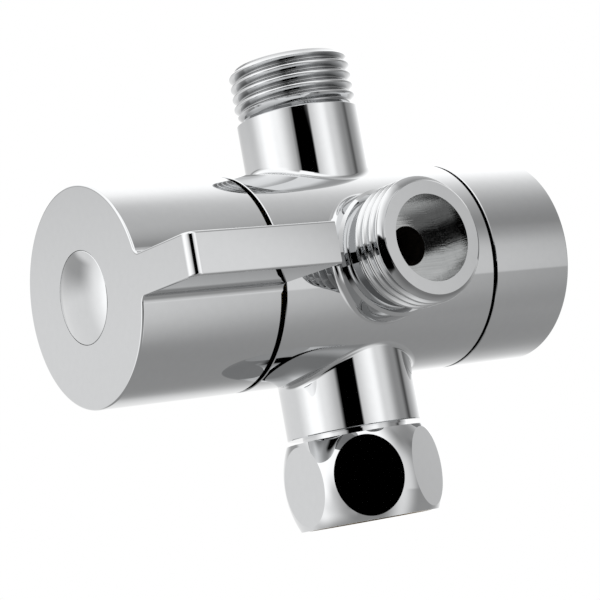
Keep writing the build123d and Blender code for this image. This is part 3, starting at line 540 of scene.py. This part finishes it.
def cover():
    """The button in the knob's end: a crown that is part of a ball, with a rounded rim, on a short skirt.
    The rim's arc ends where its normal is the ball's."""
    patches = Patches()
    ring = np.linspace(0, 2 * np.pi, 129)
    ball = (COVER ** 2 + COVER_CROWN ** 2) / (2 * COVER_CROWN)
    centre = KNOB_LEFT - COVER_CROWN + ball
    lean = np.arcsin((COVER - COVER_EDGE) / (ball - COVER_EDGE))
    rim_x = centre - (ball - COVER_EDGE) * np.cos(lean)
    turned_arc(patches, (0, centre), ball, -np.pi / 2, lean - np.pi / 2, ring, steps=20)
    turned_arc(patches, (COVER - COVER_EDGE, rim_x), COVER_EDGE, lean - np.pi / 2, 0, ring)
    skirt_x = KNOB_LEFT + COVER_SKIRT
    turned(patches, [(COVER, rim_x), (COVER, skirt_x), (0, skirt_x)], ring)
    return patches.turn(ALONG_BARREL)


def end_cap():
    """The cap: a plain cup with a bevel beside the body and a rounded edge at its closed end."""
    patches = Patches()
    ring = np.linspace(0, 2 * np.pi, 193)
    turned(patches, [(0, CAP_FLOOR), (CAP_BORE, CAP_FLOOR), (CAP_BORE, CAP_LEFT),
                     (BARREL - BODY_EDGE, CAP_LEFT), (BARREL, CAP_LEFT + BODY_EDGE),
                     (BARREL, CAP_RIGHT - CAP_EDGE)], ring)
    turned_arc(patches, (BARREL - CAP_EDGE, CAP_RIGHT - CAP_EDGE), CAP_EDGE, 0, np.pi / 2, ring)
    turned(patches, [(BARREL - CAP_EDGE, CAP_RIGHT), (0, CAP_RIGHT)], ring)
    return patches.turn(ALONG_BARREL)


# Swivel nut


def swivel_nut():
    """The nut: a barrel-shaped blank, whose radius is an arc from NUT_END at its faces to NUT_CROWN
    halfway, cut by six flats. A flat ends where crown(z) cos a = NUT_FLAT, which makes it an oval. Rays
    from the oval's middle give its grid, and go on over the blank to the edges of that flat's sixth."""
    patches = Patches()
    half = (NUT_TOP - NUT_BOTTOM) / 2
    bulge = (half ** 2 + (NUT_CROWN - NUT_END) ** 2) / (2 * (NUT_CROWN - NUT_END))

    def crown(z):
        return NUT_CROWN - bulge + np.sqrt(bulge ** 2 - z ** 2)

    tall = np.sqrt(bulge ** 2 - (NUT_FLAT - NUT_CROWN + bulge) ** 2)
    sweep = np.linspace(0, 2 * np.pi, 1441)
    oval_z = tall * np.sin(sweep)
    oval_a = np.sign(np.cos(sweep)) * np.arccos(np.clip(NUT_FLAT / crown(oval_z), -1, 1))
    upright = np.linspace(-half, half, 25)
    level = np.linspace(-np.pi / 6, np.pi / 6, 25)
    edge = np.concatenate([
        np.stack([0 * upright[:-1] + np.pi / 6, upright[:-1]], axis=1),
        np.stack([level[:0:-1], 0 * level[1:] + half], axis=1),
        np.stack([0 * upright[1:] - np.pi / 6, upright[:0:-1]], axis=1),
        np.stack([level[:-1], 0 * level[1:] - half], axis=1)])
    edge = np.concatenate([edge, edge[:1]])
    bearing = np.unwrap(np.arctan2(edge[:, 1], NUT_FLAT * edge[:, 0]))
    known = np.unwrap(np.arctan2(oval_z, NUT_FLAT * oval_a))
    known = np.concatenate([known - 2 * np.pi, known[1:], known[1:] + 2 * np.pi])
    rim_z = np.interp(bearing, known, np.concatenate([oval_z, oval_z[1:], oval_z[1:]]))
    rim_a = np.interp(bearing, known, np.concatenate([oval_a, oval_a[1:], oval_a[1:]]))
    rim_a = np.sign(rim_a) * np.arccos(np.clip(NUT_FLAT / crown(rim_z), -1, 1))
    middle = (NUT_TOP + NUT_BOTTOM) / 2
    for sixth in range(6):
        turn = sixth * np.pi / 3
        cos, sin = np.cos(turn), np.sin(turn)
        share = np.linspace(0, 1, 9)[:, None]
        sideways = share * NUT_FLAT * np.tan(rim_a)
        z = share * rim_z
        flat_x, flat_y = NUT_FLAT * cos - sideways * sin, NUT_FLAT * sin + sideways * cos
        flat = np.stack([flat_x, flat_y, middle + z], axis=2)
        patches.add(flat, (cos, sin, 0))
        angle = rim_a + share * (edge[:, 0] - rim_a)
        z = rim_z + share * (edge[:, 1] - rim_z)
        radius = crown(z)
        around = np.stack([np.cos(angle + turn), np.sin(angle + turn)], axis=2)
        blank = np.concatenate([radius[..., None] * around, middle + z[..., None]], axis=2)
        slope = z / np.sqrt(bulge ** 2 - z ** 2)
        patches.add(blank, np.concatenate([around, slope[..., None]], axis=2))
    ring = np.linspace(-np.pi / 6, 2 * np.pi - np.pi / 6, 145)
    ring_between(patches, COLLAR, NUT_END, NUT_TOP, ring, 1)
    turned(patches, [(COLLAR, NUT_TOP), (COLLAR, -WIRE_TOP), (NUT_WIRE, -WIRE_TOP), (NUT_WIRE, -WIRE_BOTTOM),
                     (COLLAR, -WIRE_BOTTOM), (COLLAR, COLLAR_END), (SEAT, COLLAR_END), (SEAT, SEAT_HEIGHT)],
           ring, finish=1)
    mouth = THREAD_CREST + MOUTH_CLEARANCE

    def trim(height, *own):
        cut = cut_to(*own, THREAD_ROOT + SEAT_HEIGHT - height, -1.0)
        return cut_to(*cut, mouth + NUT_BOTTOM - height, -1.0, above=False)

    thread(patches, NUT_BOTTOM, SEAT_HEIGHT, NUT_BOTTOM, ring, trim, finish=1, inner=True)
    seat_edge = thread_edge(SEAT_HEIGHT, NUT_BOTTOM, NUT_BOTTOM, ring, trim)
    ring_between(patches, seat_edge, SEAT, SEAT_HEIGHT, ring, 1, finish=1)
    mouth_edge = thread_edge(NUT_BOTTOM, NUT_BOTTOM, NUT_BOTTOM, ring, trim)
    ring_between(patches, mouth_edge, NUT_END, NUT_BOTTOM, ring, -1)
    cos, sin = np.cos(NUT_TURN), np.sin(NUT_TURN)
    return patches.turn(np.array([[cos, -sin, 0], [sin, cos, 0], [0, 0, 1]]))


# Materials


def linear(hex_colour):
    """An sRGB hex colour as the linear colour that a shader socket takes."""
    value = np.array([int(hex_colour[i:i + 2], 16) / 255 for i in (0, 2, 4)])
    value = np.where(value <= 0.04045, value / 12.92, ((value + 0.055) / 1.055) ** 2.4)
    return (*value, 1.0)


def node(tree, kind, settings=None, links=None):
    """Adds a node: settings by property or input name, and links from an output of another node to an
    input."""
    made = tree.nodes.new(kind)
    for name, value in (settings or {}).items():
        if isinstance(name, int) or name in made.inputs:
            made.inputs[name].default_value = value
        else:
            setattr(made, name, value)
    for name, source in (links or {}).items():
        tree.links.new(source, made.inputs[name])
    return made


def shade(grey):
    """The linear value of a grey written as an sRGB value from 0 to 1."""
    return grey / 12.92 if grey <= 0.04045 else ((grey + 0.055) / 1.055) ** 2.4


def surface(name, colours, metallic, roughness, grain, depth=0.0, ior=None):
    """A finish whose colour and roughness each run between two values by one noise. grain is the length of
    its marks in millimetres along x, y and z, and depth their height in millimetres."""
    material = bpy.data.materials.new(name)
    material.use_nodes = True
    tree = material.node_tree
    shader = tree.nodes["Principled BSDF"]
    shader.inputs["Metallic"].default_value = metallic
    if ior:
        shader.inputs["IOR"].default_value = ior
    place = node(tree, "ShaderNodeTexCoord")
    scaled = node(tree, "ShaderNodeMapping", {"Scale": [1 / (size * MM) for size in grain]},
                  {"Vector": place.outputs["Object"]})
    noise = node(tree, "ShaderNodeTexNoise", {"Scale": 1.0, "Detail": 3.0},
                 {"Vector": scaled.outputs["Vector"]})
    marks = node(tree, "ShaderNodeMapRange", {"From Min": 0.3, "From Max": 0.7},
                 {"Value": noise.outputs["Fac"]})
    tint = node(tree, "ShaderNodeMix", {"data_type": "RGBA", 6: linear(colours[0]), 7: linear(colours[1])},
                {0: marks.outputs["Result"]})
    tree.links.new(tint.outputs[2], shader.inputs["Base Color"])
    sheen = node(tree, "ShaderNodeMapRange", {"To Min": roughness[0], "To Max": roughness[1]},
                 {"Value": marks.outputs["Result"]})
    tree.links.new(sheen.outputs["Result"], shader.inputs["Roughness"])
    if depth:
        bump = node(tree, "ShaderNodeBump", {"Distance": depth * MM}, {"Height": marks.outputs["Result"]})
        tree.links.new(bump.outputs["Normal"], shader.inputs["Normal"])
    return material


# Chrome plate on buffed brass and zinc. Buffing leaves a mirror, with a haze of fine wheel marks that only
# softens a reflection a little. Chrome gives back about two thirds of the light, so its greys are darker
# than silver's. The marks are drawn some ten times as long as real ones.
chrome = surface("polished_chrome_plate", ("CFD0D1", "D1D2D3"), 1.0, (0.008, 0.014), (1.2, 1.2, 1.2))

# In the outlets' threads the buffing wheel doesn't reach, so the flanks are duller. Their colour is painted
# darker towards the root, as painted shade in the grooves, while the crests are as bright as the neck. The
# painted shade follows the distance from each outlet's axis.
thread_chrome_with_painted_shade = surface("unbuffed_chrome_with_painted_groove_shade", ("CFD0D1", "D1D2D3"), 1.0, (0.02, 0.05), (0.4, 0.4, 0.4))
THREAD_DARK, THREAD_BRIGHT = 0.9, 0.3
thread_tree = thread_chrome_with_painted_shade.node_tree
thread_shader = thread_tree.nodes["Principled BSDF"]
spot = node(thread_tree, "ShaderNodeTexCoord")
distance = {}
for number, (axis, height) in enumerate((((1, 1, 0), 0), ((1, 0, 1), -AXIS_HEIGHT))):
    across_axis = node(thread_tree, "ShaderNodeMapping",
                       {"Location": (0, 0, height * MM * axis[2]), "Scale": axis},
                       {"Vector": spot.outputs["Object"]})
    length = node(thread_tree, "ShaderNodeVectorMath", {"operation": "LENGTH"},
                  {0: across_axis.outputs["Vector"]})
    distance[number] = length.outputs["Value"]
nearest = node(thread_tree, "ShaderNodeMath", {"operation": "MINIMUM"}, distance)
brightness = node(thread_tree, "ShaderNodeMapRange",
                  {"From Min": (THREAD_CREST - THREAD_DARK) * MM,
                   "From Max": (THREAD_CREST - THREAD_BRIGHT) * MM},
                  {"Value": nearest.outputs[0]})
# Painted shade: the thread's colour goes to a darker grey deep in its grooves
painted_groove_shade = node(thread_tree, "ShaderNodeMix", {"data_type": "RGBA", 6: linear("A6A7A8")},
            {0: brightness.outputs["Result"]})
thread_tree.links.new(thread_shader.inputs["Base Color"].links[0].from_socket, painted_groove_shade.inputs[7])
thread_tree.links.new(painted_groove_shade.outputs[2], thread_shader.inputs["Base Color"])

# The outlets' mouths: reamed brass under thin nickel. A last level stroke of the tool leaves streaks 0.02
# mm wide, drawn at 0.22 mm, which spread what the bore mirrors up and down.
bored = surface("reamed_nickel_plated_bore", ("B4B5B5", "C3C4C4"), 1.0, (0.1, 0.16), (12, 12, 0.22), 0.015)

# Drilled brass waterways, never plated: water has dulled them, with duller lime patches. Their brown black
# colour is painted shade of the deep holes and of the floors that close them.
# Painted shade: the waterways are coloured nearly black for the dark inside the deep holes
waterway_painted_shade = surface("dull_brass_waterway_painted_shade", ("1C1A18", "352C24"), 0.6, (0.45, 0.7), (1.6, 1.6, 1.6))

# Brass turned on a lathe and left bare. The tool's feed of 0.1 mm, drawn at 0.2 mm, leaves rings round each
# axis, and handling leaves the yellow a little brown in places. Inside the swivel nut, water has dulled it,
# and its darker colour there is painted shade of the nut's mouth.
brass = surface("turned_brass", ("B99654", "D4B56E"), 1.0, (0.2, 0.32), (0.2, 5, 5), 0.003)
# Painted shade: the brass inside the nut is coloured darker for the shade in its mouth, and is rougher
nut_brass_with_painted_shade = surface("water_dulled_brass_thread_with_painted_shade", ("6A5836", "857046"), 1.0, (0.3, 0.45), (5, 5, 0.2), 0.003)

# Stainless steel screw, clip and ring, from drawn wire and bar: drawing leaves soft streaks and an even
# grey.
steel = surface("drawn_stainless_steel", ("A5A5A6", "BBBBBC"), 1.0, (0.2, 0.34), (2.5, 0.3, 0.3), 0.002)

# Alumina discs, lapped flat: ivory, hard and nearly glassy, with a faint mottle of pores. Pores of 0.02 mm
# are drawn at 0.15 mm.
ceramic = surface("lapped_alumina_ceramic", ("EAE6DB", "F3F0E8"), 0.0, (0.12, 0.22),
                  (0.15, 0.15, 0.15), 0.001, 1.76)

# Cartridge shell and base: glass-filled polyamide, moulded. Fibres near the surface make it slightly
# mottled and matt.
moulded = surface("moulded_glass_filled_polyamide", ("B9BBB8", "CBCCC9"), 0.0, (0.4, 0.55),
                   (0.4, 1.2, 1.2), 0.004, 1.53)

# Guide ring and thrust washer: acetal with a dry lubricant in it, moulded. Waxy, off-white and soft in its
# shine.
acetal = surface("moulded_lubricated_acetal", ("E6E3DA", "EFECE5"), 0.0, (0.32, 0.45),
                 (0.8, 0.8, 0.8), 0.002, 1.48)

# Seals and washer: nitrile rubber, moulded in an etched tool. Nearly black, matt, with a faint grey bloom.
rubber = surface("moulded_nitrile_rubber", ("19191A", "2B2B2C"), 0.0, (0.55, 0.75),
                 (0.5, 0.5, 0.5), 0.006, 1.52)

# A floor of pale matt board, with a tooth fine enough to leave it plain.
board = surface("pale_matt_board", ("E4E4E2", "E8E8E6"), 0.0, (0.9, 1.0), (1.5, 1.5, 1.5))

body = barrel_ends().join(inlet())
top_shoulder = [(TOP_NECK, TOP_SHOULDER), (RELIEF, TOP_SHOULDER)]
body.join(outlet(TOP_NECK, top_shoulder, TOP_THREAD, TOP_CREST, TOP_REACH, UPRIGHT))
groove_start = FRONT_SHOULDER + FRONT_CHAMFER
front_shoulder = [(FRONT_NECK, FRONT_SHOULDER), (FRONT_NECK - FRONT_CHAMFER, groove_start),
                  (RELIEF, groove_start)]
body.join(outlet(FRONT_NECK, front_shoulder, FRONT_THREAD, FRONT_CREST, FRONT_REACH, TO_FRONT))
body.build("valve_body_skin", "valve", ["valve_body"], "plated_brass", [chrome, bored, waterway_painted_shade, thread_chrome_with_painted_shade])
end_cap().build("end_cap_skin", "valve", ["end_cap"], "plated_brass", [chrome])
knob().build("knob_skin", "handle", ["knob"], "plated_zinc", [chrome])
cover().build("screw_cover_skin", "handle", ["screw_cover"], "plated_cover", [chrome])
swivel_nut().build("swivel_nut_skin", "inlet_union", ["swivel_nut"], "plated_nut", [chrome, nut_brass_with_painted_shade])

finishes = {"bare_brass": brass, "steel": steel, "disc_ceramic": ceramic, "cartridge_plastic": moulded,
            "glide_plastic": acetal, "seal_rubber": rubber}
for part in frame["record"]["subparts"]:
    finish = finishes.get(part["material_slot"])
    if finish:
        slots = frame["nodes"][part["node"]].data.materials
        slots.clear()
        slots.append(finish)

# The floor that the nut stands on. The photograph is taken from just under its level, so it is seen from
# above only, and the plate mirrors the studio's table in its place.
FLOOR_HALF = 1500
corners = np.array([(-1, -1, 0), (1, -1, 0), (1, 1, 0), (-1, 1, 0)]) * FLOOR_HALF * MM
floor_mesh = bpy.data.meshes.new("floor")
floor_mesh.from_pydata(corners.tolist(), [], [(0, 1, 2, 3)])
floor_mesh.materials.append(board)
floor = bpy.data.objects.new("floor", floor_mesh)
bpy.context.scene.collection.objects.link(floor)
floor.visible_glossy = False
board_tree = board.node_tree
facing = node(board_tree, "ShaderNodeNewGeometry")
open_side = node(board_tree, "ShaderNodeBsdfTransparent")
one_sided = node(board_tree, "ShaderNodeMixShader",
                 links={0: facing.outputs["Backfacing"],
                        1: board_tree.nodes["Principled BSDF"].outputs["BSDF"],
                        2: open_side.outputs["BSDF"]})
board_tree.links.new(one_sided.outputs["Shader"], board_tree.nodes["Material Output"].inputs["Surface"])

# Camera and studio

# The camera comes from a perspective fit to the photograph: its focal length and the place that it looks
# along in pixels of the square frame, its azimuth, elevation and roll in degrees, and the point that it
# turns about and its distance from there in millimetres.
FRAME, SENSOR = 600, 36.0
FOCAL_PIXELS, CENTRE_PIXEL_X, CENTRE_PIXEL_Y = 2151.15, 298.19, 306.13
CAMERA_AZIMUTH, CAMERA_ELEVATION, CAMERA_ROLL = -35.216, -6.496, -10.239
AIM_X, AIM_Z, CAMERA_DISTANCE = -6.953, -4.75, 366.93
CLIP_START = 0.01

camera_data = bpy.data.cameras.new("camera")
camera_data.sensor_width = SENSOR
camera_data.lens = SENSOR * FOCAL_PIXELS / FRAME
camera_data.shift_x = (FRAME / 2 - CENTRE_PIXEL_X) / FRAME
camera_data.shift_y = (CENTRE_PIXEL_Y - FRAME / 2) / FRAME
camera = bpy.data.objects.new("camera", camera_data)
bpy.context.scene.collection.objects.link(camera)
azimuth, elevation, roll = np.radians([CAMERA_AZIMUTH, CAMERA_ELEVATION, CAMERA_ROLL])
back = np.array([np.sin(azimuth) * np.cos(elevation), -np.cos(azimuth) * np.cos(elevation),
                 np.sin(elevation)])
unrolled_right = np.array([np.cos(azimuth), np.sin(azimuth), 0])
unrolled_up = np.cross(back, unrolled_right)
right = unrolled_right * np.cos(roll) + unrolled_up * np.sin(roll)
above = -unrolled_right * np.sin(roll) + unrolled_up * np.cos(roll)
eye = np.array([AIM_X, 0, AIM_Z + AXIS_HEIGHT]) + CAMERA_DISTANCE * back
stance = np.eye(4)
stance[:3, 0], stance[:3, 1], stance[:3, 2], stance[:3, 3] = right, above, back, eye * MM
camera.matrix_world = Matrix(stance.tolist())
camera_data.clip_start = CLIP_START
bpy.context.scene.camera = camera
bpy.context.scene.view_settings.view_transform = "Standard"

# The studio as the polished metal mirrors it: a pale room, grey walls and cards round the object, and a
# dark opening for the camera. Their layout comes from a scratch script that fitted mirrored rays to the
# photograph's reflections. Its values were then rounded, and some were set again by hand against the
# render. Each row gives the bearing from the camera in degrees (positive to its right), half width,
# softness of the left and right edge, lowest and highest elevation, softness of the lower and upper edge,
# slant, and the grey of the card as an sRGB value. Each is painted over those before it.
ROOM = 0.98
CARDS = [
    ("right wall", 104, 38, 40, 60, -70, 65, 25, 45, -0.2, 0.52),
    ("high on the right", 120, 55, 10, 80, 55, 120, 40, 15, -0.3, 0.65),
    ("low on the right", 115, 65, 70, 20, -120, -20, 10, 70, 0.4, 0.55),
    ("low in front", 0, 50, 75, 50, -120, 0, 5, 30, 0.0, 0.50),
    ("left wall behind", -135, 50, 15, 35, -45, 25, 5, 15, 0.0, 0.80),
    ("left soft box", -65, 12, 15, 15, -20, 45, 20, 15, 0.0, 1.00),
    ("left of the opening", -22, 8, 35, 5, -35, 55, 10, 40, 0.0, 0.60),
    ("right of the opening", 14, 9, 2, 50, -15, 32, 3, 20, 0.3, 0.62),
    ("opening for the camera", -4, 16, 7, 4, -25, 22, 15, 4, 0.3, 0.0),
    ("seam", 107, 4, 12, 8, -3, 32, 30, 12, -0.9, 0.25),
    ("seam, higher", 92, 5, 20, 20, 22, 40, 25, 12, -0.6, 0.50),
    ("light band", 66, 10, 15, 30, -5, 28, 2, 25, 0.0, 0.82),
    ("left wall, higher", -130, 30, 40, 25, 1, 14, 14, 4, -0.3, 0.57),
    ("backdrop", 190, 20, 30, 15, 5, 60, 5, 15, 0.4, 0.95),
    ("table", 0, 185, 5, 5, -130, -42, 25, 15, -0.2, 0.52),
]


def studio_light(tree):
    """The studio's grey in each direction: bearing = arctan(right / back), elevation = arcsin(up), and each
    card mixed in by the product of its four soft edges."""
    place = node(tree, "ShaderNodeTexCoord").outputs["Generated"]
    share = [node(tree, "ShaderNodeVectorMath", {"operation": "DOT_PRODUCT"}, {0: place}) for _ in range(3)]
    for made, axis in zip(share, (right, above, back)):
        made.inputs[1].default_value = axis
    across, up, towards = [made.outputs["Value"] for made in share]
    bearing = node(tree, "ShaderNodeMath", {"operation": "ARCTAN2"}, {0: across, 1: towards}).outputs[0]
    elevation = node(tree, "ShaderNodeMath", {"operation": "ARCSINE"}, {0: up}).outputs[0]

    def edge(value, at, softness, rising):
        low, high = np.radians(at - softness / 2), np.radians(at + softness / 2)
        ends = (low, high) if rising else (high, low)
        return node(tree, "ShaderNodeMapRange", {"interpolation_type": "SMOOTHSTEP", "From Min": ends[0],
                                                 "From Max": ends[1]}, {"Value": value}).outputs["Result"]

    grey = None
    for _, middle, half, left, right_edge, low, high, below, top, slant, value in CARDS:
        level = (low + high) / 2
        leaning = node(tree, "ShaderNodeMath", {"operation": "MULTIPLY_ADD", 1: -slant,
                                                2: np.radians(slant * level - middle)},
                       {0: elevation}).outputs[0]
        moved = node(tree, "ShaderNodeMath", {"operation": "ADD"}, {0: bearing, 1: leaning}).outputs[0]
        turned_to = node(tree, "ShaderNodeMath", {"operation": "WRAP", 1: np.pi, 2: -np.pi},
                         {0: moved}).outputs[0]
        edges = [edge(turned_to, -half, left, True), edge(turned_to, half, right_edge, False),
                 edge(elevation, low, below, True), edge(elevation, high, top, False)]
        covered = edges[0]
        for other in edges[1:]:
            both_covered = node(tree, "ShaderNodeMath", {"operation": "MULTIPLY"}, {0: covered, 1: other})
            covered = both_covered.outputs[0]
        mixed = node(tree, "ShaderNodeMix", {"data_type": "FLOAT", "B": shade(value)}, {"Factor": covered})
        if grey is None:
            mixed.inputs["A"].default_value = shade(ROOM)
        else:
            tree.links.new(grey, mixed.inputs["A"])
        grey = mixed.outputs["Result"]
    return grey


# Matt surfaces are lit by plain white. Mirror rays see the studio at 1.6 times its greys, because chrome
# gives back only about two thirds of the light: a white card is then brighter than plain white and a grey
# wall darker, and the mean over all directions is a little under plain white.
MIRRORED_STRENGTH = 1.6
world = bpy.data.worlds.new("studio")
bpy.context.scene.world = world
world.use_nodes = True
world_tree = world.node_tree
plain = world_tree.nodes["Background"]
plain.inputs["Color"].default_value = (1, 1, 1, 1)
mirrored = node(world_tree, "ShaderNodeBackground", {"Strength": MIRRORED_STRENGTH},
                {"Color": studio_light(world_tree)})
path = node(world_tree, "ShaderNodeLightPath")
shiny = node(world_tree, "ShaderNodeMath", {"operation": "MAXIMUM"},
             {0: path.outputs["Is Glossy Ray"], 1: path.outputs["Is Transmission Ray"]})
both = node(world_tree, "ShaderNodeMixShader",
            links={0: shiny.outputs[0], 1: plain.outputs[0], 2: mirrored.outputs[0]})
world_tree.links.new(both.outputs[0], world_tree.nodes["World Output"].inputs["Surface"])
